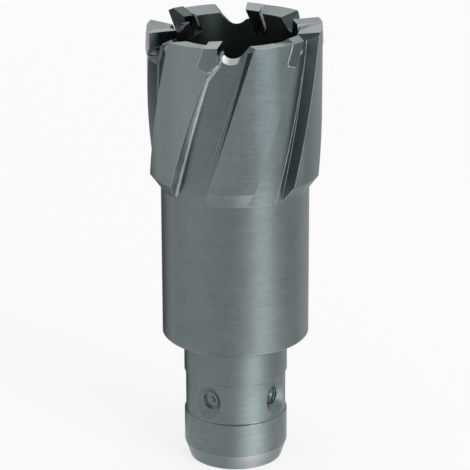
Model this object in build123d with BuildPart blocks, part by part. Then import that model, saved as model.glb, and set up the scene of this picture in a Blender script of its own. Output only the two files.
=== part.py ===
from build123d import *
import os
from math import atan, cos, pi, radians, sin, sqrt, tan

# Carbide-tipped annular cutter, standing on the end of its shank with the teeth up.
# The origin is the centre of the shank's end face, and the tool's axis is Z.

# Shank
shank_diameter = 18.0
shank_length = 23.1
end_cone_length = 2.8
end_cone_radius = 8.05
groove_depth = 0.27
groove_start = 8.6
groove_width = 7.6
groove_flank = 0.3
dimple_count = 4
dimple_angle = -124.5
dimple_diameter = 6.6
dimple_cone_angle = 120.0
dimple_pocket_diameter = 3.0
dimple_depth = 1.5
pin_bore_diameter = 6.4
pin_bore_chamfer = 0.5

# Body
body_diameter = 25.4
body_length = 27.0
shoulder_chamfer = 0.3
core_diameter = 21.8
core_floor_thickness = 4.0
core_floor_chamfer = 1.2

# Fluted head
teeth = 6
first_tooth_angle = -101.0
head_length = 27.75
land_clearance = 0.25
land_angle = 35.2
land_taper_angle = 5.0
land_set_back_angle = 1.3
land_run_out = 2.8
flute_lead_length = 275.0
flute_floor_step = 0.03
trailing_wall_lean = 10.0
leading_foot_fillet = 0.15
trailing_foot_fillet = 0.3
top_dish = 8.0

# Gullets between the teeth
gullet_depth = 3.2
gullet_slope = 18.0
gullet_radius = 2.2
gullet_offset = 1.9
gullet_flank = 45.0

# Carbide tips and their seats
cutting_diameter = 30.0
tip_inner_step = 0.6
tip_width = 3.0
tip_depth = 4.35
tip_lead = 0.82
tip_corner_radius = 0.45
tip_height = 0.2
tip_clearance_angle = 5.0
braze_gap = 0.05
heel_start = 3.5
heel_start_rise = 0.6
heel_angle = 17.0
heel_outer_angle = 32.0
heel_depth = 1.7
ridged_tips = (1, 4)
ridge_height = 0.85
ridge_outer_width = 1.2
ridge_outer_slope = 32.0
ridge_inner_slope = 25.0
bevel_width = 1.4
bevel_angle = 50.0

# Levels and radii that follow from the sizes above
shank_radius = shank_diameter / 2
groove_radius = shank_radius - groove_depth
groove_end = groove_start + groove_width
pin_bore_radius = pin_bore_diameter / 2
body_radius = body_diameter / 2
cutting_radius = cutting_diameter / 2
land_radius = cutting_radius - land_clearance
core_radius = core_diameter / 2
tip_inner_radius = core_radius - tip_inner_step
shoulder_z = shank_length
core_floor_z = shoulder_z + core_floor_thickness
land_foot_z = shoulder_z + body_length
head_z = land_foot_z + head_length
rim_z = head_z - (land_radius - core_radius) * tan(radians(top_dish))
tooth_pitch = 360 / teeth
tooth_angles = [first_tooth_angle + tooth_pitch * k for k in range(teeth)]
cut_margin = 2.0
on_base = (Align.CENTER, Align.CENTER, Align.MIN)

os.makedirs("parts", exist_ok=True)


def polar(radius, angle):
    return (radius * cos(radians(angle)), radius * sin(radians(angle)))


# Turned blank: shank, body and the thicker ring that the lands are left from.
# The pilot pin's bore and the hollow for the core are bored along its axis.
with BuildPart() as blank:
    with BuildSketch(Plane.XZ):
        with BuildLine():
            Polyline(
                (pin_bore_radius + pin_bore_chamfer, 0),
                (end_cone_radius, 0),
                (shank_radius, end_cone_length),
                (shank_radius, groove_start),
                (groove_radius, groove_start + groove_flank),
                (groove_radius, groove_end - groove_flank),
                (shank_radius, groove_end),
                (shank_radius, shoulder_z),
                (body_radius - shoulder_chamfer, shoulder_z),
                (body_radius, shoulder_z + shoulder_chamfer),
                (body_radius, land_foot_z),
                (land_radius, land_foot_z + land_run_out),
                (land_radius, head_z),
                (core_radius, rim_z),
                (core_radius, core_floor_z + core_floor_chamfer),
                (core_radius - core_floor_chamfer, core_floor_z),
                (pin_bore_radius, core_floor_z),
                (pin_bore_radius, pin_bore_chamfer),
                close=True,
            )
        make_face()
    revolve(axis=Axis.Z)

# Section of one flute, at the level of the tooth tops, for a tooth whose cutting edge
# lies along +X. The tool turns towards +Y, and the flute lies ahead of the tooth.
leading_angle = -land_set_back_angle
trailing_angle = tooth_pitch - land_set_back_angle - land_angle
trailing_top = Vector(*polar(land_radius, trailing_angle))
trailing_wall = Vector(*polar(1, trailing_angle + trailing_wall_lean))
wall_height = land_radius - body_radius
flute_start_z = land_foot_z - cut_margin
flute_height = head_z + cut_margin - flute_start_z


def flute_section(floor_step):
    with BuildSketch() as section:
        with BuildLine():
            Polyline(
                polar(body_radius - cut_margin, leading_angle),
                polar(land_radius + cut_margin, leading_angle),
                trailing_top + trailing_wall * cut_margin,
                trailing_top - trailing_wall * (wall_height + cut_margin),
                close=True,
            )
        make_face()
        Circle(body_radius + floor_step, mode=Mode.SUBTRACT)
        foot_corners = section.vertices().sort_by(SortBy.DISTANCE)[:2].sort_by(Axis.Y)
        fillet(foot_corners[0], leading_foot_fillet)
        fillet(foot_corners[1], trailing_foot_fillet)
    return section.sketch


def flute_pass(floor_step, taper):
    """The section carried down the head along a helix, with taper degrees more at the foot."""
    turn_rate = 360 / flute_lead_length + taper / head_length
    start_plane = Plane.XY.offset(flute_start_z).rotated((0, 0, (flute_start_z - head_z) * turn_rate))
    return Solid.extrude_linear_with_rotation(
        start_plane.from_local_coords(flute_section(floor_step)).face(),
        center=(0, 0, flute_start_z),
        normal=(0, 0, flute_height),
        angle=turn_rate * flute_height,
    )


# The lands narrow towards their feet, so each flute is milled in two passes
leading_pass = flute_pass(flute_floor_step, land_taper_angle / 2)
trailing_pass = flute_pass(2 * flute_floor_step, -land_taper_angle / 2)

# Gullet: a round-bottomed notch beside the cutting face that sheds chips outwards.
# Its upright side is the cutting face, and its floor slopes down towards the outside.
gullet_plane = Plane(
    origin=(body_radius, 0, head_z - gullet_depth),
    x_dir=(0, 1, 0),
    z_dir=(cos(radians(gullet_slope)), 0, -sin(radians(gullet_slope))),
)
gullet_height = gullet_depth + 2 * cut_margin
face_foot = gullet_radius - sqrt(gullet_radius**2 - gullet_offset**2)
flank_foot_x = gullet_offset + gullet_radius * sin(radians(gullet_flank))
flank_foot_y = gullet_radius * (1 - cos(radians(gullet_flank)))
flank_run = (gullet_height - flank_foot_y) / tan(radians(gullet_flank))

with BuildPart() as gullet:
    with BuildSketch(gullet_plane):
        with BuildLine():
            ThreePointArc((0, face_foot), (gullet_offset, 0), (flank_foot_x, flank_foot_y))
            Polyline(
                (flank_foot_x, flank_foot_y),
                (flank_foot_x + flank_run, gullet_height),
                (0, gullet_height),
                (0, face_foot),
            )
        make_face()
    extrude(amount=body_radius / 2, both=True)

# The tip's block leans forward with the flute. In the plane of its side, X is its width
# and Y its length, and the cutting edge is at the plane's origin.
tip_tilt = atan(2 * pi * land_radius / flute_lead_length)
tip_plane = Plane(
    origin=(0, 0, head_z),
    x_dir=(0, cos(tip_tilt), -sin(tip_tilt)),
    z_dir=(1, 0, 0),
)


def tip_block(clearance, inner_radius, outer_radius):
    """The block of a tip, or its seat when clearance is more than nothing."""
    width = tip_width + 2 * clearance
    bottom = -tip_depth - clearance
    back = tip_lead + clearance - width
    with BuildPart() as block:
        with BuildSketch(tip_plane.offset(inner_radius)) as side:
            with Locations((back, bottom)):
                Rectangle(width, tip_depth + clearance + cut_margin, align=Align.MIN)
            back_corner = side.vertices().sort_by_distance((back, bottom))[0]
            fillet(back_corner, tip_corner_radius)
        extrude(amount=outer_radius - inner_radius)
    return block.part


seat = tip_block(braze_gap, tip_inner_radius - cut_margin, cutting_radius + cut_margin)
tip_blank = tip_block(0, tip_inner_radius, cutting_radius + cut_margin)

# Heel of a tooth: below the cutting face the front slopes back to the wall of the flute,
# first on the tip's own corner, then in steel. It is steeper at the outside than at the foot.
def heel_line(radius):
    """The level where the heel starts at a radius, and how fast it falls back below it."""
    share = (radius - body_radius) / (cutting_radius - body_radius)
    angle = heel_angle + (heel_outer_angle - heel_angle) * share
    return heel_start_rise * share - heel_start, tan(radians(angle))


def heel_x(radius, level):
    start, slope = heel_line(radius)
    return tip_lead - (start - level) * slope


def heel_level(radius, x):
    start, slope = heel_line(radius)
    return start - (tip_lead - x) / slope


heel_top = braze_gap - tip_depth
heel_back = tip_lead - heel_depth
relief_bottom = -tip_depth - cut_margin
relief_front = tip_lead + cut_margin

with BuildPart() as heel:
    for radius in (body_radius - braze_gap, cutting_radius + braze_gap):
        with BuildSketch(tip_plane.offset(radius)):
            with BuildLine():
                Polyline(
                    (heel_x(radius, heel_top), heel_top),
                    (heel_back, heel_level(radius, heel_back)),
                    (heel_back, heel_top),
                    close=True,
                )
            make_face()
    loft(ruled=True)
    Cylinder(land_radius, head_z, align=on_base, mode=Mode.INTERSECT)

with BuildPart() as tip_relief:
    for radius in (body_radius + flute_floor_step, cutting_radius + wall_height / 2):
        with BuildSketch(tip_plane.offset(radius)):
            with BuildLine():
                Polyline(
                    (relief_front, heel_level(radius, relief_front)),
                    (heel_x(radius, relief_bottom), relief_bottom),
                    (relief_front, relief_bottom),
                    close=True,
                )
            make_face()
    loft(ruled=True)

# Steel body, in one piece with its shank
with BuildPart() as cutter_body:
    add(blank.part)
    for angle in tooth_angles:
        add(leading_pass, rotation=(0, 0, angle), mode=Mode.SUBTRACT)
        add(trailing_pass, rotation=(0, 0, angle), mode=Mode.SUBTRACT)
    for angle in tooth_angles:
        add(heel.part, rotation=(0, 0, angle))
    for angle in tooth_angles:
        add(gullet.part, rotation=(0, 0, angle), mode=Mode.SUBTRACT)
        add(seat, rotation=(0, 0, angle), mode=Mode.SUBTRACT)
    for k in range(dimple_count):
        side = Vector(*polar(1, dimple_angle + 360 / dimple_count * k))
        centre = side * groove_radius + Vector(0, 0, (groove_start + groove_end) / 2)
        with Locations(Plane(origin=centre, z_dir=side)):
            CounterSinkHole(
                radius=dimple_pocket_diameter / 2,
                counter_sink_radius=dimple_diameter / 2,
                depth=dimple_depth,
                counter_sink_angle=dimple_cone_angle,
            )

cutter_body.part.label = "cutter_body"
export_step(cutter_body.part, "parts/cutter_body.step")

# Carbide tips, brazed in their seats. Two that face each other have a raised, roofed top.
crown_plane = Plane(
    origin=(0, 0, head_z),
    x_dir=(1, 0, 0),
    z_dir=(0, -cos(radians(tip_clearance_angle)), -sin(radians(tip_clearance_angle))),
)
ridge_radius = cutting_radius - ridge_outer_width
bevel_radius = tip_inner_radius + bevel_width
bevel_top = ridge_height - (ridge_radius - bevel_radius) * tan(radians(ridge_inner_slope))
flat_crown = [(tip_inner_radius, tip_height), (cutting_radius, tip_height)]
ridged_crown = [
    (tip_inner_radius, bevel_top - bevel_width * tan(radians(bevel_angle))),
    (bevel_radius, bevel_top),
    (ridge_radius, ridge_height),
    (cutting_radius, ridge_height - ridge_outer_width * tan(radians(ridge_outer_slope))),
]

for k, angle in enumerate(tooth_angles):
    crown = ridged_crown if k in ridged_tips else flat_crown
    with BuildPart() as carbide_tip:
        with BuildSketch(crown_plane):
            with BuildLine():
                Polyline(
                    (tip_inner_radius, -2 * tip_depth),
                    *crown,
                    (cutting_radius, -2 * tip_depth),
                    close=True,
                )
            make_face()
        extrude(amount=2 * tip_depth, both=True)
        add(tip_blank, mode=Mode.INTERSECT)
        Cylinder(cutting_radius, head_z + cut_margin, align=on_base, mode=Mode.INTERSECT)
        add(gullet.part, mode=Mode.SUBTRACT)
        add(tip_relief.part, mode=Mode.SUBTRACT)
    placed_tip = carbide_tip.part.rotate(Axis.Z, angle)
    placed_tip.label = f"carbide_tip_{k + 1}"
    export_step(placed_tip, f"parts/carbide_tip_{k + 1}.step")
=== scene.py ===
from math import asin, atan, cos, degrees, pi, radians, sin, sqrt, tan

import bmesh
import bpy
from mathutils import Matrix, Vector, noise


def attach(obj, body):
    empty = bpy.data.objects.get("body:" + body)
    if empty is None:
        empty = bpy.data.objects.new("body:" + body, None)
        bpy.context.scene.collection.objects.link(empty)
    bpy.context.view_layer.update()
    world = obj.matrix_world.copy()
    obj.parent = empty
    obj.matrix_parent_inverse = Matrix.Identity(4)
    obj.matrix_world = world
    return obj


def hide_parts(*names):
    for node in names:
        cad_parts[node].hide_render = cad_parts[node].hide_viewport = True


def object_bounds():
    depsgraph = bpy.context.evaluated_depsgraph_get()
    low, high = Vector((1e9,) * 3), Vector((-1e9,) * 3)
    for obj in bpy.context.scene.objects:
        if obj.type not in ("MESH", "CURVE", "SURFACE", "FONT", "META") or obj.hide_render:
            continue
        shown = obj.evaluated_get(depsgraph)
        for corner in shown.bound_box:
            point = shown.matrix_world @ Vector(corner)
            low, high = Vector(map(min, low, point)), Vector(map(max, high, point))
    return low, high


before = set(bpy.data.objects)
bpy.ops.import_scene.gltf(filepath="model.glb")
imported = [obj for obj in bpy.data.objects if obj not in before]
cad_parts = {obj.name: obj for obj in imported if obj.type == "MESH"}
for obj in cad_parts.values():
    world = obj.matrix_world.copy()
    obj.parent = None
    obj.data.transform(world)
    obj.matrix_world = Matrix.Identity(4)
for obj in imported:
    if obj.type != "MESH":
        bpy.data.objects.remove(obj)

MM = 0.001


def mm(*values):
    """Lengths given in millimetres."""
    return tuple(value * MM for value in values)


# The frame's nodes
BODY = "cutter_body"
TIPS = sorted(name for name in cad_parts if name.startswith("carbide_tip_"))
cad_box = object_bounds()
low, high = cad_box

# Camera, fitted to the outlines in the photograph
FRAME_PIXELS = 470
FOCAL_PIXELS = 2502.65
SENSOR_MM = 36.0
CAMERA_DISTANCE = 430.83 * MM
CAMERA_ELEVATION = 20.103
CAMERA_ROLL = -0.170
CAMERA_TARGET = Vector((-0.044, 0.0, 40.66)) * MM

# Sizes of the cutter, with its angles in degrees
TEETH = 6
FIRST_TOOTH = -101.0
EDGE_LEVEL = 77.85 * MM
HEAD_LENGTH = 27.75 * MM
LAND_RADIUS = 14.75 * MM
BODY_RADIUS = 12.7 * MM
FLOOR_RADIUS = 12.73 * MM
CORE_RADIUS = 10.9 * MM
CUTTING_RADIUS = 15.0 * MM
TOP_DISH = 8.0
FLUTE_LEAD = 275.0 * MM
LAND_TAPER = 5.0
LAND_FOOT = 50.1 * MM
LAND_RUN_OUT = 2.8 * MM
SET_BACK = 1.3
TIP_LEAD = 0.82 * MM
HEEL_START = 3.5 * MM
HEEL_RISE = 0.6 * MM
HEEL_ANGLE = 17.0
HEEL_OUTER_ANGLE = 32.0
GULLET_DEPTH = 3.2 * MM
GULLET_SLOPE = 18.0
TIP_TILT = atan(2 * pi * LAND_RADIUS / FLUTE_LEAD)
TURN_RATE = 360 / FLUTE_LEAD + LAND_TAPER / 2 / HEAD_LENGTH

# Rounded edges, which also carry a painted highlight: how far a rounded normal turns from the flat one,
# as their dot product
EDGE_SAMPLES = 6
EDGE_TURN = (0.995, 0.85)

# Where most values of a noise lie
NOISE_RANGE = (0.3, 0.7)


def nodes_of(owner):
    """The emptied node tree of a material or a world."""
    owner.use_nodes = True
    tree = owner.node_tree
    tree.nodes.clear()
    return tree


class Graph:
    """Short calls for building a node tree."""

    def __init__(self, tree):
        self.tree = tree

    def node(self, kind, **settings):
        made = self.tree.nodes.new(kind)
        for name, value in settings.items():
            setattr(made, name, value)
        return made

    def put(self, socket, value):
        if isinstance(value, bpy.types.NodeSocket):
            self.tree.links.new(value, socket)
        else:
            socket.default_value = value

    def math(self, operation, a, b=None):
        made = self.node("ShaderNodeMath", operation=operation)
        self.put(made.inputs[0], a)
        if b is not None:
            self.put(made.inputs[1], b)
        return made.outputs[0]

    def times(self, first, *others):
        """The product of two or more values."""
        for other in others:
            first = self.math("MULTIPLY", first, other)
        return first

    def blend(self, a, b, share):
        """A mix of two values: a share of the first, and the rest from the second."""
        return self.math("ADD", self.times(a, share), self.times(b, 1.0 - share))

    def outside(self, mask):
        """1 where a mask is 0, and 0 where it is 1."""
        return self.math("SUBTRACT", 1.0, mask)

    def remap(self, value, low_in, high_in, low_out, high_out, smooth=False):
        made = self.node("ShaderNodeMapRange")
        made.interpolation_type = "SMOOTHSTEP" if smooth else "LINEAR"
        self.put(made.inputs["Value"], value)
        for name, number in (("From Min", low_in), ("From Max", high_in),
                             ("To Min", low_out), ("To Max", high_out)):
            self.put(made.inputs[name], number)
        return made.outputs["Result"]

    def zone(self, value, limits, smooth=False):
        """A mask that is 0 up to the first limit, and 1 from the second limit on."""
        return self.remap(value, *limits, 0.0, 1.0, smooth)

    def mix_colour(self, factor, a, b):
        made = self.node("ShaderNodeMix", data_type="RGBA")
        self.put(made.inputs[0], factor)
        self.put(made.inputs[6], a)
        self.put(made.inputs[7], b)
        return made.outputs[2]

    def noise(self, vector, scale, detail=2.0, roughness=0.5):
        made = self.node("ShaderNodeTexNoise")
        self.put(made.inputs["Vector"], vector)
        made.inputs["Scale"].default_value = scale
        made.inputs["Detail"].default_value = detail
        made.inputs["Roughness"].default_value = roughness
        return made.outputs["Fac"]

    def marks(self, spot, level, scales, roughness=0.5):
        """Noise with one scale round the tool and another one along it."""
        around, along = scales
        made = self.node("ShaderNodeCombineXYZ")
        values = (self.times(spot.x, around), self.times(spot.y, around), self.times(level, along))
        for socket, value in zip(made.inputs, values):
            self.put(socket, value)
        return self.noise(made.outputs[0], 1.0, roughness=roughness)

    def object_position(self):
        return self.node("ShaderNodeTexCoord").outputs["Object"]

    def split(self, vector):
        made = self.node("ShaderNodeSeparateXYZ")
        self.put(made.inputs[0], vector)
        return made.outputs

    def rounded_edges(self, radius):
        """A normal rounded over edges, and how near the surface is to an edge."""
        bevel = self.node("ShaderNodeBevel", samples=EDGE_SAMPLES)
        bevel.inputs["Radius"].default_value = radius
        flat = self.node("ShaderNodeNewGeometry").outputs["Normal"]
        agree = self.node("ShaderNodeVectorMath", operation="DOT_PRODUCT")
        self.put(agree.inputs[0], bevel.outputs[0])
        self.put(agree.inputs[1], flat)
        return bevel.outputs[0], self.zone(agree.outputs["Value"], EDGE_TURN)

    def bump(self, height, distance, normal=None):
        made = self.node("ShaderNodeBump")
        made.inputs["Distance"].default_value = distance
        self.put(made.inputs["Height"], height)
        if normal is not None:
            self.put(made.inputs["Normal"], normal)
        return made.outputs["Normal"]

    def metal(self, colour, roughness, normal, metallic=1.0):
        """A metal shader, put on the surface."""
        shader = self.node("ShaderNodeBsdfPrincipled")
        shader.inputs["Metallic"].default_value = metallic
        self.put(shader.inputs["Base Color"], colour)
        self.put(shader.inputs["Roughness"], roughness)
        self.put(shader.inputs["Normal"], normal)
        self.surface(shader)
        return shader

    def surface(self, shader, output="ShaderNodeOutputMaterial"):
        self.put(self.node(output).inputs["Surface"], shader.outputs[0])


class Spot:
    """Where a point of the tool lies, and how far its surface faces forward, outward and up."""

    def __init__(self, g):
        self.position = g.object_position()
        self.x, self.y, self.z = g.split(self.position)
        square = g.math("ADD", g.times(self.x, self.x), g.times(self.y, self.y))
        self.radius = g.math("SQRT", square)
        nx, ny, self.up = g.split(g.node("ShaderNodeNewGeometry").outputs["Normal"])
        forward = g.math("SUBTRACT", g.times(self.x, ny), g.times(self.y, nx))
        outward = g.math("ADD", g.times(self.x, nx), g.times(self.y, ny))
        self.forward = g.math("DIVIDE", forward, self.radius)
        self.outward = g.math("DIVIDE", outward, self.radius)


# Steel. Its tones are set by place, as the photograph shows them.
STEEL_DARK = (0.104, 0.132, 0.138, 1)
STEEL_LIGHT = (0.138, 0.171, 0.178, 1)
# Painted light on the lands, and painted shade on the flute floors, the middle lands and the roots
STEEL_LAND_LIT = (0.147, 0.184, 0.191, 1)
STEEL_FLUTE_SHADE = (0.088, 0.116, 0.121, 1)
# Painted light on the downward faces where the lands run out
STEEL_FOOT_PAINTED_LIGHT = (0.165, 0.200, 0.208, 1)
STEEL_WALL = (0.110, 0.138, 0.143, 1)
# Painted highlight and softer painted sheen on the front tooth's leading wall
STEEL_PAINTED_HIGHLIGHT = (0.88, 0.93, 0.94, 1)
STEEL_PAINTED_SHEEN = (0.26, 0.30, 0.31, 1)
# Tops: a rougher ground finish that is also lighter as painted light, and painted shade on the tops at
# the left
STEEL_GROUND = (0.255, 0.286, 0.291, 1)
STEEL_TOP_SHADE = (0.180, 0.206, 0.211, 1)
# Painted highlight on the front gullets, and painted shade in the rear gullets and on the trailing
# walls
STEEL_GULLET_HIGHLIGHT = (0.50, 0.53, 0.535, 1)
STEEL_GULLET_LIT_HIGHLIGHT = (0.70, 0.73, 0.73, 1)
STEEL_PAINTED_SHADE = (0.075, 0.100, 0.103, 1)
# Painted shade in the bore
STEEL_BORE_SHADE = (0.040, 0.054, 0.050, 1)
# Painted highlight and painted light on the shank's end cone
STEEL_CONE_HIGHLIGHT = (0.39, 0.43, 0.435, 1)
STEEL_CONE_PAINTED_LIGHT = (0.175, 0.212, 0.220, 1)
# Light steel: a painted highlight along edges, and the lighter grain of the head
STEEL_HIGHLIGHT_AND_GRAIN = (0.34, 0.39, 0.40, 1)
STEEL_ANISOTROPY = 0.7
GRAIN_TURN = 0.25
TURNED_ROUGHNESS = (0.32, 0.40)
GROUND_ROUGHNESS = 0.55
EDGE_RADIUS = 0.14 * MM
EDGE_SHARE = 0.8
TURNING_BUMP = 0.0030 * MM
LAND_TONE = 0.8
LAND_GRAIN = (0.42, 0.64)
LAND_GRAIN_SHARE = 0.10
PATCH_SHARE = 0.4
STEEL_PATCHES = {"scale": 320.0, "detail": 5.0, "roughness": 0.65}

# Lathe marks, with their scales round the tool and along it
FINE_MARKS = (900.0, 4200.0)
LONG_MARKS = (70.0, 2600.0)
MARK_ROUGHNESS = 0.6
FINE_SHARE = 0.6
MARK_RANGE = (0.36, 0.64)

# Masks by the way that the surface faces. Each pair is where a mask is 0, and where it is 1.
TOP_FACING = (0.45, 0.75)
GULLET_FACING = (0.40, 0.60)
GULLET_LIT_FACING = (0.12, 0.45)
LEADING_FACING = (0.30, 0.65)
TRAILING_FACING = (-0.35, -0.70)
LAND_FACING = (0.8, 0.9)
FOOT_FACING = (-0.25, -0.45)
CONE_FACING = (-0.12, -0.24)
BORE_FACING = (-0.3, -0.6)

# Masks by level. The head's top is the frame's top without the ridges of two tips.
RIDGE_HEIGHT = 0.85 * MM
HEAD_TOP = high.z - RIDGE_HEIGHT
TOP_LEVEL = (HEAD_TOP - 6.0 * MM, HEAD_TOP - 5.0 * MM)
GULLET_LEVEL = (HEAD_TOP - 1.9 * MM, HEAD_TOP - 2.5 * MM)
POCKET_FLOOR_LEVEL = (HEAD_TOP - 6.0 * MM, HEAD_TOP - 5.9 * MM)
POCKET_TOP_LEVEL = (HEAD_TOP - 1.6 * MM, HEAD_TOP - 1.7 * MM)
HEAD_LEVEL = mm(51.0, 55.0)
UPPER_WALL_LEVEL = mm(56.0, 67.0)
UNDER_LAND = (LAND_FOOT + LAND_RUN_OUT + 0.3 * MM, LAND_FOOT + LAND_RUN_OUT)
OVER_BODY = (LAND_FOOT - 0.1 * MM, LAND_FOOT)
RUN_OUT_LEVEL = mm(48.0, 48.5)
CONE_LEVEL = mm(2.9, 2.7)

# Masks by radius
LAND_REACH = mm(14.4, 14.6)
FLOOR_REACH = mm(13.0, 12.8)
WALL_REACH = mm(13.5, 14.6)
ROOT_REACH = mm(12.78, 12.92)
BORE_REACH = mm(11.02, 10.97)
POCKET_REACH = mm(12.80, 12.72)
RUN_OUT_REACH = mm(12.78, 12.74)

# Masks from side to side
LEFT_LANDS = mm(3.0, -3.0)
MIDDLE_LANDS = mm(0.0, 5.0)
RIGHT_LANDS = mm(7.6, 9.8)
RIGHT_LANDS_END = mm(11.8, 11.2)
RIGHT_FLOORS = mm(5.5, 8.5)
TOP_SHADE_SIDE = mm(-12.0, -9.0)
FRONT_TOOTH_LEFT = mm(-11.6, -11.0)
FRONT_TOOTH_RIGHT = mm(1.0, 0.0)
GULLETS_LEFT_END = mm(-12.0, -10.5)
FOOT_SIDE = mm(4.0, -1.5)
RUN_OUT_SIDE = mm(-4.4, -4.6)
CONE_MIDDLE = 2.8 * MM
CONE_ASIDE = mm(0.5, 4.5)

# Masks from the back to the front
FRONT_HALF = mm(0.0, -2.0)
FRONT_GULLETS = mm(0.0, -4.0)
REAR_GULLETS = mm(0.0, 4.0)


def turned_marks(g, spot):
    """Fine marks left by a lathe: short round the axis, close together along it."""
    level = g.math("ADD", spot.z, spot.radius)
    fine = g.marks(spot, level, FINE_MARKS, MARK_ROUGHNESS)
    long_marks = g.marks(spot, level, LONG_MARKS, MARK_ROUGHNESS)
    return g.blend(fine, long_marks, FINE_SHARE)


def head_tones(g, spot, colour, tone):
    """The lands and the floors of the flutes: painted light and painted shade from side to side, over
    the lands' own lighter grinding and grain.
    """
    head = g.times(g.zone(spot.outward, LAND_FACING), g.zone(spot.z, HEAD_LEVEL), LAND_TONE)
    land = g.times(head, g.zone(spot.radius, LAND_REACH))
    floor = g.times(head, g.zone(spot.radius, FLOOR_REACH))
    floor_colour = g.mix_colour(g.zone(spot.x, RIGHT_FLOORS), STEEL_FLUTE_SHADE, STEEL_LAND_LIT)
    colour = g.mix_colour(floor, colour, floor_colour)
    colour = g.mix_colour(g.times(land, g.zone(spot.x, LEFT_LANDS)), colour, STEEL_LAND_LIT)
    colour = g.mix_colour(g.times(land, g.zone(spot.x, MIDDLE_LANDS)), colour, STEEL_FLUTE_SHADE)
    right = g.times(g.zone(spot.x, RIGHT_LANDS), g.zone(spot.x, RIGHT_LANDS_END))
    colour = g.mix_colour(g.times(land, right), colour, STEEL_LAND_LIT)
    grain = g.remap(tone, *LAND_GRAIN, 0.0, LAND_GRAIN_SHARE)
    return g.mix_colour(g.times(head, grain), colour, STEEL_HIGHLIGHT_AND_GRAIN)


def front_wall_highlight(g, spot):
    """A leading wall, with a painted highlight on the front tooth that is brightest high up near its
    foot, and a softer painted sheen on the rest of that wall.
    """
    painted_highlight = g.mix_colour(g.zone(spot.radius, WALL_REACH, smooth=True), STEEL_PAINTED_HIGHLIGHT, STEEL_PAINTED_SHEEN)
    painted_highlight = g.mix_colour(g.zone(spot.z, UPPER_WALL_LEVEL, smooth=True), STEEL_PAINTED_SHEEN, painted_highlight)
    front_tooth = g.times(g.zone(spot.x, FRONT_TOOTH_LEFT), g.zone(spot.x, FRONT_TOOTH_RIGHT),
                          g.zone(spot.y, FRONT_HALF))
    return g.mix_colour(front_tooth, STEEL_WALL, painted_highlight)


def ground_tones(g, spot, colour, topside):
    """Tooth tops, the leading walls of the flutes and the gullets. The tops are lighter as rougher
    ground faces and as painted light, and darker at the left as painted shade; the front tooth's wall
    and the front gullets carry a painted highlight, and the rear gullets painted shade.
    """
    ground = g.mix_colour(g.zone(spot.x, TOP_SHADE_SIDE), STEEL_TOP_SHADE, STEEL_GROUND)
    colour = g.mix_colour(topside, colour, ground)
    # Leading walls, with a painted highlight on the front tooth's wall
    leading = g.times(g.zone(spot.forward, LEADING_FACING, smooth=True), g.zone(spot.z, HEAD_LEVEL))
    colour = g.mix_colour(leading, colour, front_wall_highlight(g, spot))

    # Painted shade in the rear gullets, and a painted highlight on the front gullets, brightest where
    # they face forward
    gullet = g.times(topside, g.zone(spot.z, GULLET_LEVEL), g.zone(spot.up, GULLET_FACING))
    rear = g.times(gullet, g.zone(spot.y, REAR_GULLETS))
    colour = g.mix_colour(rear, colour, STEEL_PAINTED_SHADE)
    front = g.times(gullet, g.zone(spot.y, FRONT_GULLETS), g.zone(spot.x, GULLETS_LEFT_END))
    lit = g.zone(spot.forward, GULLET_LIT_FACING, smooth=True)
    return g.mix_colour(front, colour, g.mix_colour(lit, STEEL_GULLET_HIGHLIGHT, STEEL_GULLET_LIT_HIGHLIGHT))


def lower_tones(g, spot, colour):
    """The feet of the lands and the shank's end cone, lightened as painted light with a painted
    highlight on the cone, and the trailing walls and the bore, darkened as painted shade.
    """
    # Downward faces where the lands run out, lightened as painted light that fades out towards the
    # right
    foot = g.times(g.zone(spot.up, FOOT_FACING), g.zone(spot.z, UNDER_LAND),
                   g.zone(spot.z, OVER_BODY), g.zone(spot.x, FOOT_SIDE))
    colour = g.mix_colour(foot, colour, STEEL_FOOT_PAINTED_LIGHT)
    # The shank's downward end cone, lightened as painted light, with a painted highlight in a band
    # right of the middle
    aside = g.math("ABSOLUTE", g.math("SUBTRACT", spot.x, CONE_MIDDLE))
    cone_colour = g.mix_colour(g.zone(aside, CONE_ASIDE), STEEL_CONE_HIGHLIGHT, STEEL_CONE_PAINTED_LIGHT)
    cone = g.times(g.zone(spot.up, CONE_FACING), g.zone(spot.z, CONE_LEVEL))
    colour = g.mix_colour(cone, colour, cone_colour)
    # Trailing walls darkened as painted shade
    trailing = g.times(g.zone(spot.forward, TRAILING_FACING, smooth=True), g.zone(spot.z, HEAD_LEVEL))
    colour = g.mix_colour(trailing, colour, STEEL_PAINTED_SHADE)
    # The bore's inner walls darkened as painted shade
    bore = g.times(g.zone(spot.radius, BORE_REACH), g.zone(spot.outward, BORE_FACING))
    return g.mix_colour(bore, colour, STEEL_BORE_SHADE)


def painted_edge_highlights(g, spot, edge):
    """Edges painted bright as a highlight, but not in the tip seats and not where a flute runs out."""
    pocket = g.times(g.zone(spot.z, POCKET_FLOOR_LEVEL), g.zone(spot.z, POCKET_TOP_LEVEL),
                     g.zone(spot.radius, POCKET_REACH))
    run_out = g.times(g.zone(spot.z, UNDER_LAND), g.zone(spot.x, RUN_OUT_SIDE),
                      g.zone(spot.radius, RUN_OUT_REACH), g.zone(spot.z, RUN_OUT_LEVEL))
    return g.times(edge, g.outside(pocket), g.outside(run_out), EDGE_SHARE)


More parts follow.
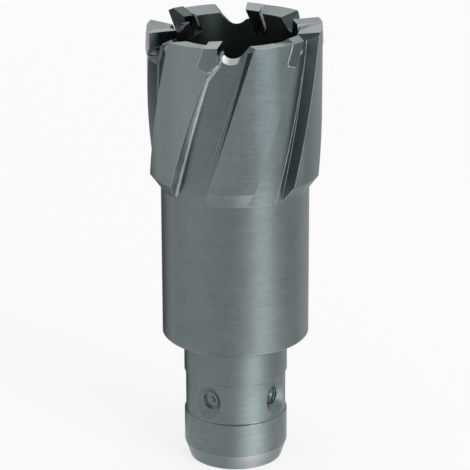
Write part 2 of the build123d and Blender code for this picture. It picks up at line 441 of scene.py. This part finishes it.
def steel_material():
    material = bpy.data.materials.new("ground_steel")
    g = Graph(nodes_of(material))
    spot = Spot(g)
    edge_normal, edge = g.rounded_edges(EDGE_RADIUS)
    marks = turned_marks(g, spot)
    tone = g.blend(g.noise(spot.position, **STEEL_PATCHES), marks, PATCH_SHARE)
    topside = g.times(g.zone(spot.up, TOP_FACING, smooth=True), g.zone(spot.z, TOP_LEVEL))

    colour = g.mix_colour(g.zone(tone, MARK_RANGE), STEEL_DARK, STEEL_LIGHT)
    colour = head_tones(g, spot, colour, tone)
    colour = ground_tones(g, spot, colour, topside)
    colour = lower_tones(g, spot, colour)
    # A painted highlight along the edges
    colour = g.mix_colour(painted_edge_highlights(g, spot, edge), colour, STEEL_HIGHLIGHT_AND_GRAIN)

    turned = g.remap(tone, *MARK_RANGE, *TURNED_ROUGHNESS)
    roughness = g.remap(topside, 0.0, 1.0, turned, GROUND_ROUGHNESS)
    shader = g.metal(colour, roughness, g.bump(marks, TURNING_BUMP, edge_normal))
    shader.inputs["Anisotropic"].default_value = STEEL_ANISOTROPY
    shader.inputs["Anisotropic Rotation"].default_value = GRAIN_TURN
    tangent = g.node("ShaderNodeTangent", direction_type="RADIAL", axis="Z")
    g.put(shader.inputs["Tangent"], tangent.outputs[0])
    return material


# Carbide
CARBIDE_DARK = (0.090, 0.112, 0.116, 1)
CARBIDE_LIGHT = (0.116, 0.142, 0.147, 1)
CARBIDE_SHADE = (0.074, 0.094, 0.098, 1)
# Painted light on inner faces that slope up
CARBIDE_GREY = (0.150, 0.180, 0.186, 1)
# Painted highlight on the outer part of a cutting face
CARBIDE_FACE_HIGHLIGHT = (0.22, 0.26, 0.27, 1)
# Painted shade on the cutting faces and the inner ends
CARBIDE_FACE_SHADE = (0.019, 0.027, 0.029, 1)
CARBIDE_FACE_SOFT_SHADE = (0.090, 0.118, 0.120, 1)
# Painted light on crown slopes that face out and up
CARBIDE_SLOPE_LIT = (0.235, 0.265, 0.270, 1)
CARBIDE_ROUGHNESS = (0.22, 0.30)
CARBIDE_EDGE_RADIUS = 0.6 * EDGE_RADIUS
CARBIDE_EDGE_SHARE = 0.6
CARBIDE_MARKS = (700.0, 5200.0)
CARBIDE_PATCHES = {"scale": 500.0, "detail": 3.0}

# Masks of the carbide
FACE_FACING = (0.4, 0.7)
INNER_FACING = (-0.4, -0.7)
UPRIGHT_FACING = (0.6, 0.3)
SLOPING_FACING = (0.3, 0.6)
OUTER_SLOPE_FACING = (0.25, 0.45)
SLOPE_TOP_FACING = (0.6, 0.8)
SHADE_SIDE = mm(3.0, 5.0)
SHADE_SHARE = 0.8
FACE_LIGHT_SIDE = mm(-9.0, -7.0)
FACE_FOOT_LEVEL = (HEAD_TOP - 2.3 * MM, HEAD_TOP - 2.7 * MM)
# Where the painted highlight on a cutting face begins, as a radius
FACE_HIGHLIGHT_WIDTH = 1.4 * MM
FACE_HIGHLIGHT_FROM = 16.0 * MM
FACE_HIGHLIGHT_TIP = "carbide_tip_6"
FACE_HIGHLIGHT_TIP_FROM = 13.0 * MM


def carbide_material(name, highlight_from):
    """Ground carbide, whose cutting face carries a painted highlight outside a radius."""
    material = bpy.data.materials.new(name)
    g = Graph(nodes_of(material))
    spot = Spot(g)
    edge_normal, edge = g.rounded_edges(CARBIDE_EDGE_RADIUS)
    marks = g.marks(spot, spot.z, CARBIDE_MARKS)
    patches = g.noise(spot.position, **CARBIDE_PATCHES)
    colour = g.mix_colour(patches, CARBIDE_DARK, CARBIDE_LIGHT)
    colour = g.mix_colour(g.times(g.zone(spot.x, SHADE_SIDE), SHADE_SHARE), colour, CARBIDE_SHADE)

    # The cutting faces and the inner ends are darkened as painted shade, darkest at the left, and inner
    # faces that slope up are lightened as painted light
    front = g.zone(spot.forward, FACE_FACING)
    inner = g.zone(spot.outward, INNER_FACING)
    face = g.math("MAXIMUM", front, g.times(inner, g.zone(spot.up, UPRIGHT_FACING)))
    face_colour = g.mix_colour(g.zone(spot.x, FACE_LIGHT_SIDE), CARBIDE_FACE_SHADE, CARBIDE_FACE_SOFT_SHADE)
    colour = g.mix_colour(face, colour, face_colour)
    colour = g.mix_colour(g.times(inner, g.zone(spot.up, SLOPING_FACING)), colour, CARBIDE_GREY)

    # Under the gullet's floor, a front tip's face carries the same painted highlight as the front
    # tooth's wall
    foot = g.times(front, g.zone(spot.z, FACE_FOOT_LEVEL), g.zone(spot.x, FRONT_TOOTH_LEFT),
                   g.zone(spot.y, FRONT_HALF))
    colour = g.mix_colour(foot, colour, STEEL_PAINTED_HIGHLIGHT)
    # A painted highlight on the cutting face outside a radius
    face_highlight = g.zone(spot.radius, (highlight_from, highlight_from + FACE_HIGHLIGHT_WIDTH), smooth=True)
    colour = g.mix_colour(g.times(front, face_highlight), colour, CARBIDE_FACE_HIGHLIGHT)
    # Crown slopes that face out and up, lightened as painted light
    slope = g.times(g.zone(spot.outward, OUTER_SLOPE_FACING), g.zone(spot.up, SLOPE_TOP_FACING))
    colour = g.mix_colour(slope, colour, CARBIDE_SLOPE_LIT)
    # A painted highlight along the carbide's edges
    colour = g.mix_colour(g.times(edge, CARBIDE_EDGE_SHARE), colour, STEEL_HIGHLIGHT_AND_GRAIN)
    roughness = g.remap(patches, *NOISE_RANGE, *CARBIDE_ROUGHNESS)
    g.metal(colour, roughness, g.bump(marks, TURNING_BUMP, edge_normal))
    return material


# Braze
BRAZE_DARK = (0.17, 0.20, 0.205, 1)
BRAZE_LIGHT = (0.34, 0.375, 0.38, 1)
BRAZE_ROUGHNESS = (0.28, 0.42)
BRAZE_METALLIC = 0.6
BRAZE_PATCHES = {"scale": 1400.0, "detail": 4.0}
BRAZE_BUMP = 0.01 * MM


def braze_material():
    material = bpy.data.materials.new("silver_braze")
    g = Graph(nodes_of(material))
    patches = g.noise(g.object_position(), **BRAZE_PATCHES)
    colour = g.mix_colour(patches, BRAZE_DARK, BRAZE_LIGHT)
    roughness = g.remap(patches, *NOISE_RANGE, *BRAZE_ROUGHNESS)
    g.metal(colour, roughness, g.bump(patches, BRAZE_BUMP), BRAZE_METALLIC)
    return material


# Steel at the foot of the front tooth's leading wall, lightened as a painted highlight
ROOT_HIGHLIGHT_DARK = (0.20, 0.23, 0.235, 1)
ROOT_HIGHLIGHT_LIGHT = (0.28, 0.31, 0.32, 1)
MILLED_ROUGHNESS = (0.34, 0.44)


def milled_material(name, dark, light, upper_colour):
    """End milled steel at the foot of a wall, whose upper part has its own colour."""
    material = bpy.data.materials.new(name)
    g = Graph(nodes_of(material))
    spot = Spot(g)
    marks = turned_marks(g, spot)
    foot = g.mix_colour(g.zone(marks, MARK_RANGE), dark, light)
    upper = g.mix_colour(g.zone(spot.z, UPPER_WALL_LEVEL, smooth=True), foot, upper_colour)
    colour = g.mix_colour(g.zone(spot.radius, ROOT_REACH), foot, upper)
    roughness = g.remap(marks, *NOISE_RANGE, *MILLED_ROUGHNESS)
    g.metal(colour, roughness, g.bump(marks, TURNING_BUMP))
    return material


def dress(name, material):
    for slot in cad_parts[name].material_slots:
        slot.material = material


steel = steel_material()
carbide = carbide_material("ground_carbide", FACE_HIGHLIGHT_FROM)
highlighted_carbide = carbide_material("highlighted_carbide", FACE_HIGHLIGHT_TIP_FROM)
braze = braze_material()
# The front tooth's root fillet carries a painted highlight; the other roots are darker, as painted
# shade
painted_highlight = milled_material("milled_steel_painted_highlight", ROOT_HIGHLIGHT_DARK, ROOT_HIGHLIGHT_LIGHT, STEEL_PAINTED_HIGHLIGHT)
shaded_root = milled_material("shaded_root_steel", STEEL_FLUTE_SHADE, STEEL_WALL, STEEL_WALL)
dress(BODY, steel)
for name in TIPS:
    dress(name, highlighted_carbide if name == FACE_HIGHLIGHT_TIP else carbide)


# Places on a tooth
CORNER_STEPS = 8


def tooth_angle(k):
    """The angle of tooth k round the axis, in degrees."""
    return FIRST_TOOTH + 360 / TEETH * k


def at_tooth(k, radius, y, z):
    """A point at a radius on tooth k, from the distance ahead of its middle line and the level."""
    x = sqrt(radius * radius - y * y)
    a = radians(tooth_angle(k))
    return Vector((x * cos(a) - y * sin(a), x * sin(a) + y * cos(a), z))


def on_tooth(k, radius, across, along):
    """A point at a radius on tooth k: across the tip's width, and along its length."""
    y = across * cos(TIP_TILT) + along * sin(TIP_TILT)
    return at_tooth(k, radius, y, EDGE_LEVEL - across * sin(TIP_TILT) + along * cos(TIP_TILT))


def between(first, second, share):
    """The value at a share of the way from one to another."""
    return first + (second - first) * share


def wall_angle(radius, drop):
    """The angle of a tooth's leading wall from its cutting edge, at a radius and a level."""
    share = (radius - BODY_RADIUS) / (CUTTING_RADIUS - BODY_RADIUS)
    start = HEEL_RISE * share - HEEL_START
    slope = tan(radians(between(HEEL_ANGLE, HEEL_OUTER_ANGLE, share)))
    along = (drop + TIP_LEAD * sin(TIP_TILT)) / cos(TIP_TILT)
    if along < start:
        foot = TIP_LEAD - start * slope
        along = (drop + foot * sin(TIP_TILT)) / (cos(TIP_TILT) - slope * sin(TIP_TILT))
    across = TIP_LEAD - max(0.0, start - along) * slope
    y = across * cos(TIP_TILT) + along * sin(TIP_TILT)
    return max(degrees(asin(max(-1.0, y / radius))), drop * TURN_RATE - SET_BACK)


def quarter_turn(steps):
    """Angles from 0 to a right angle."""
    return [pi / 2 * n / steps for n in range(steps + 1)]


def round_corner(back, bottom, radius):
    """Across and along of the rounded corner between a tip's back and its bottom."""
    return [(back + radius * (1 - cos(a)), bottom + radius * (1 - sin(a)))
            for a in quarter_turn(CORNER_STEPS)]


# Meshes
SEAM_STEP = 0.12 * MM
SEAM_SIDES = 8
SEAM_END = 0.35
WAVER = 0.25
WAVER_SCALE = 900


def add_piece(name, builder, material, smooth=True):
    """A new piece from a mesh builder, riding on the body."""
    mesh = bpy.data.meshes.new(name)
    bmesh.ops.recalc_face_normals(builder, faces=builder.faces)
    builder.normal_update()
    builder.to_mesh(mesh)
    builder.free()
    for polygon in mesh.polygons:
        polygon.use_smooth = smooth
    mesh.materials.append(material)
    piece = bpy.data.objects.new(name, mesh)
    bpy.context.scene.collection.objects.link(piece)
    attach(piece, "root")
    return piece


def add_block(builder, rows):
    """A closed form from rings of points, with both ends capped."""
    rings = [[builder.verts.new(point) for point in row] for row in rows]
    count = len(rings[0])
    for first, second in zip(rings, rings[1:]):
        for m in range(count):
            n = (m + 1) % count
            builder.faces.new((first[m], first[n], second[n], second[m]))
    builder.faces.new(rings[0][::-1])
    builder.faces.new(rings[-1])


def walk(points):
    """The same polyline with points about a step apart."""
    out = [points[0]]
    for a, b in zip(points, points[1:]):
        count = max(1, round((b - a).length / SEAM_STEP))
        out.extend(a.lerp(b, n / count) for n in range(1, count + 1))
    return out


def add_seam(builder, corners, radius):
    """A bead of uneven thickness along a polyline, thin at its ends."""
    points = walk(corners)
    last = len(points) - 1
    turns = [2 * pi * m / SEAM_SIDES for m in range(SEAM_SIDES)]
    rings = []
    for n, point in enumerate(points):
        ahead = (points[min(n + 1, last)] - points[max(n - 1, 0)]).normalized()
        side = ahead.cross(point).normalized()
        over = side.cross(ahead)
        size = radius * (SEAM_END if n in (0, last) else 1.0)
        size *= 1 + WAVER * noise.noise(point * WAVER_SCALE)
        rings.append([point + size * (cos(t) * side + sin(t) * over) for t in turns])
    add_block(builder, rings)


# Tips whose cutting face leans back with the tip. They stand for the plain ones.
# A crown's points are radius and height, and the front is how far the cutting face
# lies ahead of the middle line at the tip's inner and outer ends, all in millimetres.
RIDGED = {"front": (-0.06, -0.06), "crown": ((11.65, -0.52), (13.62, 0.86), (15.0, 0.12))}
TILTED = {"front": (0.06, 0.50), "crown": ((10.3, 0.14), (12.6, 0.28), (14.86, 0.42))}
LEANING_TIPS = {2: RIDGED, 4: TILTED, 5: RIDGED}
SIDE_FALL = 0.40
FACE_LEAN = 0.08
BLOCK_BACK = -2.18 * MM
BLOCK_BOTTOM = -4.35 * MM
BLOCK_CORNER = 0.45 * MM

# Steel between a leaning tip and the front of its pocket. The upper points of its
# section are those at the body's radius, and they fall outward. All in millimetres.
FILL_BOTTOM = ((0.86, -4.36), (-0.46, -4.36))
FILL_TOP = ((0.86, -2.15), (0.34, -2.24), (-0.27, -2.24))
FILL_RADII = mm(10.93, 12.71)
FILL_FALL = 0.31


def leaning_row(k, radius, top, front):
    """The outline of a leaning tip at a radius, from its height and its front's place."""
    bottom_front = front + FACE_LEAN * BLOCK_BOTTOM
    top_front = front + FACE_LEAN * top
    back_top = top - SIDE_FALL * (top_front - BLOCK_BACK)
    row = [(bottom_front, BLOCK_BOTTOM), (top_front, top), (BLOCK_BACK, back_top)]
    row += round_corner(BLOCK_BACK, BLOCK_BOTTOM, BLOCK_CORNER)
    return [on_tooth(k, radius, *place) for place in row]


def leaning_tip(number, front, crown):
    """A tip with a leaning face and its own crown, in place of the plain one."""
    inner, outer = crown[0][0], crown[-1][0]
    rows = []
    for radius, top in crown:
        ahead = between(*front, (radius - inner) / (outer - inner))
        rows.append(leaning_row(number - 1, *mm(radius, top, ahead)))
    builder = bmesh.new()
    add_block(builder, rows)
    tip = add_piece(f"leaning_tip_{number}", builder, carbide, smooth=False)
    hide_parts(f"carbide_tip_{number}")


def pocket_fill(number):
    """The steel in the free front corner of a leaning tip's seat."""
    rows = []
    for radius in FILL_RADII:
        rise = FILL_FALL * (BODY_RADIUS - radius) / MM
        top = [(across, along + rise) for across, along in FILL_TOP]
        section = [FILL_BOTTOM[0], *top, FILL_BOTTOM[1]]
        rows.append([on_tooth(number - 1, radius, *mm(*place)) for place in section])
    builder = bmesh.new()
    add_block(builder, rows)
    add_piece(f"pocket_fill_{number}", builder, steel, smooth=False)


# Braze: the thin bright seams round each tip, on the outside, the top and in the bore
TIP_BACK = -2.205 * MM
TIP_BOTTOM = -4.375 * MM
TIP_CORNER = 0.475 * MM
TIP_FRONT = -0.09 * MM
LEANING_FRONT = -0.42 * MM
SEAM_RADIUS = 0.18 * MM
OUTER_SEAM = LAND_RADIUS + 0.01 * MM
BORE_SEAM = CORE_RADIUS - 0.02 * MM
BORE_SEAM_RADIUS = 1.3 * SEAM_RADIUS

# A ridged tip stops short of the bore, with a bead on the wall behind its inner end
RIDGED_END = 11.66 * MM
INNER_SEAM = 11.35 * MM
INNER_SEAM_ENDS = mm(-1.3, -3.6)
INNER_SEAM_RADIUS = 0.28 * MM

# The gullet's floor meets the cutting face in a bright line
GULLET_SIDE = 1.09 * MM
FACE_SEAM_AHEAD = 0.03 * MM
FACE_SEAM_RADIUS = 0.24 * MM
LEANING_FACE_SEAM = mm(-0.24, -2.22)
LEANING_FACE_SEAM_RADIUS = 0.12 * MM


def seam_outline(radius, front):
    """Across and along of the seam that goes down a tip's back, round its corner and forward."""
    dish = (radius - LAND_RADIUS) * tan(radians(TOP_DISH))
    top = dish / cos(TIP_TILT) + TIP_BACK * tan(TIP_TILT)
    corner = round_corner(TIP_BACK, TIP_BOTTOM, TIP_CORNER)
    return [(TIP_BACK, top), *corner, (front, TIP_BOTTOM)]


def face_corner(k, radius, leaning):
    """Where the gullet's floor meets the cutting face of tooth k, at a radius."""
    fall = (radius - BODY_RADIUS) * tan(radians(GULLET_SLOPE))
    if leaning:
        across, along = LEANING_FACE_SEAM
        return on_tooth(k, radius, across, along - fall)
    return at_tooth(k, radius, FACE_SEAM_AHEAD, EDGE_LEVEL - GULLET_DEPTH + GULLET_SIDE - fall)


def braze_seams(k, leaning, ridged):
    """All the braze round the tip of tooth k, as one piece."""
    front = LEANING_FRONT if leaning else TIP_FRONT
    inner = RIDGED_END if ridged else BORE_SEAM
    builder = bmesh.new()
    if ridged:
        behind = [on_tooth(k, INNER_SEAM, TIP_BACK, along) for along in INNER_SEAM_ENDS]
        add_seam(builder, behind, INNER_SEAM_RADIUS)
    beads = [(OUTER_SEAM, SEAM_RADIUS)]
    if not ridged:
        beads.append((BORE_SEAM, BORE_SEAM_RADIUS))
    for radius, size in beads:
        line = [on_tooth(k, radius, *place) for place in seam_outline(radius, front)]
        add_seam(builder, line, size)
    top = [on_tooth(k, radius, *seam_outline(radius, front)[0]) for radius in (inner, LAND_RADIUS)]
    add_seam(builder, top, SEAM_RADIUS)
    face = [face_corner(k, radius, leaning) for radius in (CORE_RADIUS, FLOOR_RADIUS)]
    add_seam(builder, face, LEANING_FACE_SEAM_RADIUS if leaning else FACE_SEAM_RADIUS)
    add_piece(f"braze_{k + 1}", builder, braze)


# Root fillets: the corner that the end mill leaves between a leading wall and its flute's
# floor. Their rows lie closer together along the heel under the tip.
ROOT_RADIUS = 0.42 * MM
ROOT_AHEAD = 0.8
ROOT_SHARE = 0.85
ROOT_TOP = -2.2 * MM
ROOT_BOTTOM = -27.6 * MM
ROOT_STEPS = 7
ROOT_EMBED = 0.03 * MM
ROOT_FINE_STEP = 0.15 * MM
ROOT_FINE_ROWS = 40
ROOT_STEP = 0.4 * MM
FRONT_TOOTH = 0


def root_row(k, drop):
    """The section of a root fillet, at a level under the cutting edges."""
    level = EDGE_LEVEL + drop
    wall = (LAND_RADIUS - BODY_RADIUS) * min(1.0, max(0.0, (level - LAND_FOOT) / LAND_RUN_OUT))
    height = min(ROOT_RADIUS, ROOT_SHARE * wall)
    width = ROOT_AHEAD * height
    section = [(height * (1 - sin(a)), width * (1 - cos(a))) for a in quarter_turn(ROOT_STEPS)]
    section.insert(0, (height + ROOT_EMBED, -ROOT_EMBED))
    section += [(-ROOT_EMBED, width + ROOT_EMBED), (-ROOT_EMBED, -ROOT_EMBED)]
    row = []
    for rise, ahead in section:
        radius = FLOOR_RADIUS + rise
        a = radians(tooth_angle(k) + wall_angle(radius, drop)) + ahead / radius
        row.append(Vector((radius * cos(a), radius * sin(a), level)))
    return row


def root_fillet(k):
    """The fillet at the foot of tooth k's leading wall."""
    drops = [ROOT_TOP - ROOT_FINE_STEP * n for n in range(ROOT_FINE_ROWS)]
    while drops[-1] - ROOT_STEP > ROOT_BOTTOM:
        drops.append(drops[-1] - ROOT_STEP)
    drops.append(ROOT_BOTTOM)
    builder = bmesh.new()
    add_block(builder, [root_row(k, drop) for drop in drops])
    add_piece(f"root_{k + 1}", builder, painted_highlight if k == FRONT_TOOTH else shaded_root)


for number, shape in LEANING_TIPS.items():
    leaning_tip(number, **shape)
    pocket_fill(number)
for k in range(TEETH):
    shape = LEANING_TIPS.get(k + 1)
    braze_seams(k, shape is not None, shape is RIDGED)
    root_fillet(k)

# Studio, in metres and watts. Azimuth 0 is the camera's side, and 90 is on the right.
WHITE = (1.0, 1.0, 1.0)
FLOOR_HALF = 3.0
FLOOR_GAP = 0.01 * MM
FLOOR_COLOUR = (0.93, 0.93, 0.93, 1)
FLOOR_GLOW = 0.75
WORLD_LIGHT = 0.75
LAMP_TARGET = Vector((0, 0, 0.045))


def seen_rays(g):
    """1 for what the camera sees, directly, mirrored or through glass."""
    path = g.node("ShaderNodeLightPath")
    mirrored = g.math("MAXIMUM", path.outputs["Is Glossy Ray"], path.outputs["Is Transmission Ray"])
    return g.math("MAXIMUM", path.outputs["Is Camera Ray"], mirrored)


def floor_material():
    """A pale floor that looks white where it is seen."""
    material = bpy.data.materials.new("pale_floor")
    g = Graph(nodes_of(material))
    shader = g.node("ShaderNodeBsdfDiffuse")
    shader.inputs["Color"].default_value = FLOOR_COLOUR
    white = g.node("ShaderNodeEmission")
    mixed = g.node("ShaderNodeMixShader")
    g.put(mixed.inputs[0], g.times(seen_rays(g), FLOOR_GLOW))
    g.put(mixed.inputs[1], shader.outputs[0])
    g.put(mixed.inputs[2], white.outputs[0])
    g.surface(mixed)
    return material


def add_floor():
    mesh = bpy.data.meshes.new("floor")
    builder = bmesh.new()
    bmesh.ops.create_grid(builder, x_segments=1, y_segments=1, size=FLOOR_HALF)
    builder.to_mesh(mesh)
    builder.free()
    mesh.materials.append(floor_material())
    floor = bpy.data.objects.new("floor", mesh)
    floor.location.z = low.z - FLOOR_GAP
    bpy.context.scene.collection.objects.link(floor)


def add_world():
    """White where it is seen, directly or in a reflection, and dimmer as a light."""
    world = bpy.data.worlds.new("studio")
    bpy.context.scene.world = world
    g = Graph(nodes_of(world))
    background = g.node("ShaderNodeBackground")
    background.inputs["Color"].default_value = (*WHITE, 1)
    g.put(background.inputs["Strength"], g.remap(seen_rays(g), 0.0, 1.0, WORLD_LIGHT, 1.0))
    g.surface(background, "ShaderNodeOutputWorld")


def panel(name, azimuth, elevation, distance, width, height, power):
    """A soft panel lamp that the camera doesn't see."""
    a, e = radians(azimuth), radians(elevation)
    outward = Vector((sin(a) * cos(e), -cos(a) * cos(e), sin(e)))
    data = bpy.data.lights.new(name, "AREA")
    data.shape = "RECTANGLE"
    data.size = width
    data.size_y = height
    data.energy = power
    lamp = bpy.data.objects.new(name, data)
    lamp.location = LAMP_TARGET + outward * distance
    lamp.rotation_euler = outward.to_track_quat("Z", "Y").to_euler()
    lamp.visible_camera = False
    bpy.context.scene.collection.objects.link(lamp)


# Cards that only reflections on the tool show: a reflector and dark flags
CARD_STEP = 4.0
CARD_GAP = 0.0002
FLAG_RADII = (0.016, 0.062, 0.066)
TOP_FLAG = [(0.16, 0.22), (0.03, 0.30)]
TOP_FLAG_LIGHT = 0.25


def bell(value, centre, half_width):
    """1 at the centre, falling smoothly to 0 at half_width from it."""
    share = min(abs(value - centre) / half_width, 1.0)
    return 0.5 + 0.5 * cos(pi * share)


def card_material(name, tint):
    material = bpy.data.materials.new(name)
    g = Graph(nodes_of(material))
    light = g.node("ShaderNodeEmission")
    light.inputs["Color"].default_value = (*tint, 1)
    glow = g.node("ShaderNodeAttribute", attribute_name="glow")
    g.put(light.inputs["Strength"], glow.outputs["Fac"])
    g.surface(light)
    return material


def reflection_card(name, profile, start, end, strength, tint=WHITE):
    """A card bent round the tool, from one azimuth to another.

    The profile's points are radius and height, and strength gives the card's light
    at an azimuth and one of those points."""
    steps = max(2, round(abs(end - start) / CARD_STEP))
    builder = bmesh.new()
    glow = builder.verts.layers.float.new("glow")
    columns = []
    for k in range(steps + 1):
        azimuth = start + (end - start) * k / steps
        a = radians(azimuth)
        column = []
        for j, (radius, height) in enumerate(profile):
            vertex = builder.verts.new((radius * sin(a), -radius * cos(a), height))
            vertex[glow] = strength(azimuth, j)
            column.append(vertex)
        columns.append(column)
    for first, second in zip(columns, columns[1:]):
        for j in range(len(profile) - 1):
            builder.faces.new((first[j], second[j], second[j + 1], first[j + 1]))
    mesh = bpy.data.meshes.new(name)
    builder.to_mesh(mesh)
    builder.free()
    mesh.materials.append(card_material(name, tint))
    card = bpy.data.objects.new(name, mesh)
    card.visible_camera = False
    card.visible_diffuse = False
    card.visible_transmission = False
    card.visible_volume_scatter = False
    card.visible_shadow = False
    bpy.context.scene.collection.objects.link(card)


# Reflector on the floor in front, at the right: the long highlight down the tool.
# A row has a radius, its level of light, and the height, azimuth and half width of its
# peak. Its last value is the height of a second peak at the left, for the left lands.
REFLECTOR_TINT = (1.0, 0.945, 0.93)
LEFT_PEAK = (-60, 60)
REFLECTOR = [
    (0.012, 1.25, 2.40, 28, 40, 0.0),
    (0.030, 1.25, 2.00, 36, 50, 0.0),
    (0.060, 1.10, 1.05, 41, 50, 0.0),
    (0.100, 1.02, 1.20, 42, 50, 0.0),
    (0.180, 1.00, 0.10, 42, 50, 0.75),
    (0.300, 1.00, 0.10, 42, 50, 0.75),
]


def reflector_light(azimuth, place):
    """The reflector's light at an azimuth, on one of its rows."""
    level, peak, centre, half_width, left = REFLECTOR[place][1:]
    return level + peak * bell(azimuth, centre, half_width) + left * bell(azimuth, *LEFT_PEAK)


def dark_flag(name, height, start, end, shade, centre, half_width):
    """A flag on the floor behind the tool, turned up at its back and darkest at one azimuth."""
    inner, outer, back = FLAG_RADII
    profile = [(inner, CARD_GAP), (outer, CARD_GAP), (back, height)]
    reflection_card(name, profile, start, end,
                    lambda azimuth, place: 1.0 - shade * bell(azimuth, centre, half_width))


add_floor()
add_world()
panel("key", azimuth=42, elevation=16, distance=0.60, width=0.30, height=0.50, power=2.0)
panel("rear", azimuth=186, elevation=30, distance=0.60, width=0.50, height=0.30, power=0.30)
reflector_profile = [(row[0], CARD_GAP) for row in REFLECTOR]
reflection_card("reflector", reflector_profile, start=-90, end=98, strength=reflector_light,
                tint=REFLECTOR_TINT)
dark_flag("flag_left", height=0.045, start=-100, end=-186, shade=0.92, centre=-143, half_width=42)
dark_flag("flag_right", height=0.085, start=118, end=172, shade=0.35, centre=146, half_width=28)
reflection_card("flag_top", TOP_FLAG, start=-80, end=80, strength=lambda azimuth, place: TOP_FLAG_LIGHT)

# Camera
tilt = radians(CAMERA_ELEVATION)
roll = radians(CAMERA_ROLL)
forward = Vector((0, cos(tilt), -sin(tilt)))
level_right = Vector((1, 0, 0))
level_up = Vector((0, sin(tilt), cos(tilt)))
right = level_right * cos(roll) + level_up * sin(roll)
up = level_up * cos(roll) - level_right * sin(roll)
camera_data = bpy.data.cameras.new("camera")
camera_data.sensor_width = SENSOR_MM
camera_data.lens = FOCAL_PIXELS * SENSOR_MM / FRAME_PIXELS
camera = bpy.data.objects.new("camera", camera_data)
facing = Matrix((right, up, -forward)).transposed().to_4x4()
camera.matrix_world = Matrix.Translation(CAMERA_TARGET - forward * CAMERA_DISTANCE) @ facing
bpy.context.scene.collection.objects.link(camera)
bpy.context.scene.camera = camera

bpy.context.scene.view_settings.view_transform = "Standard"
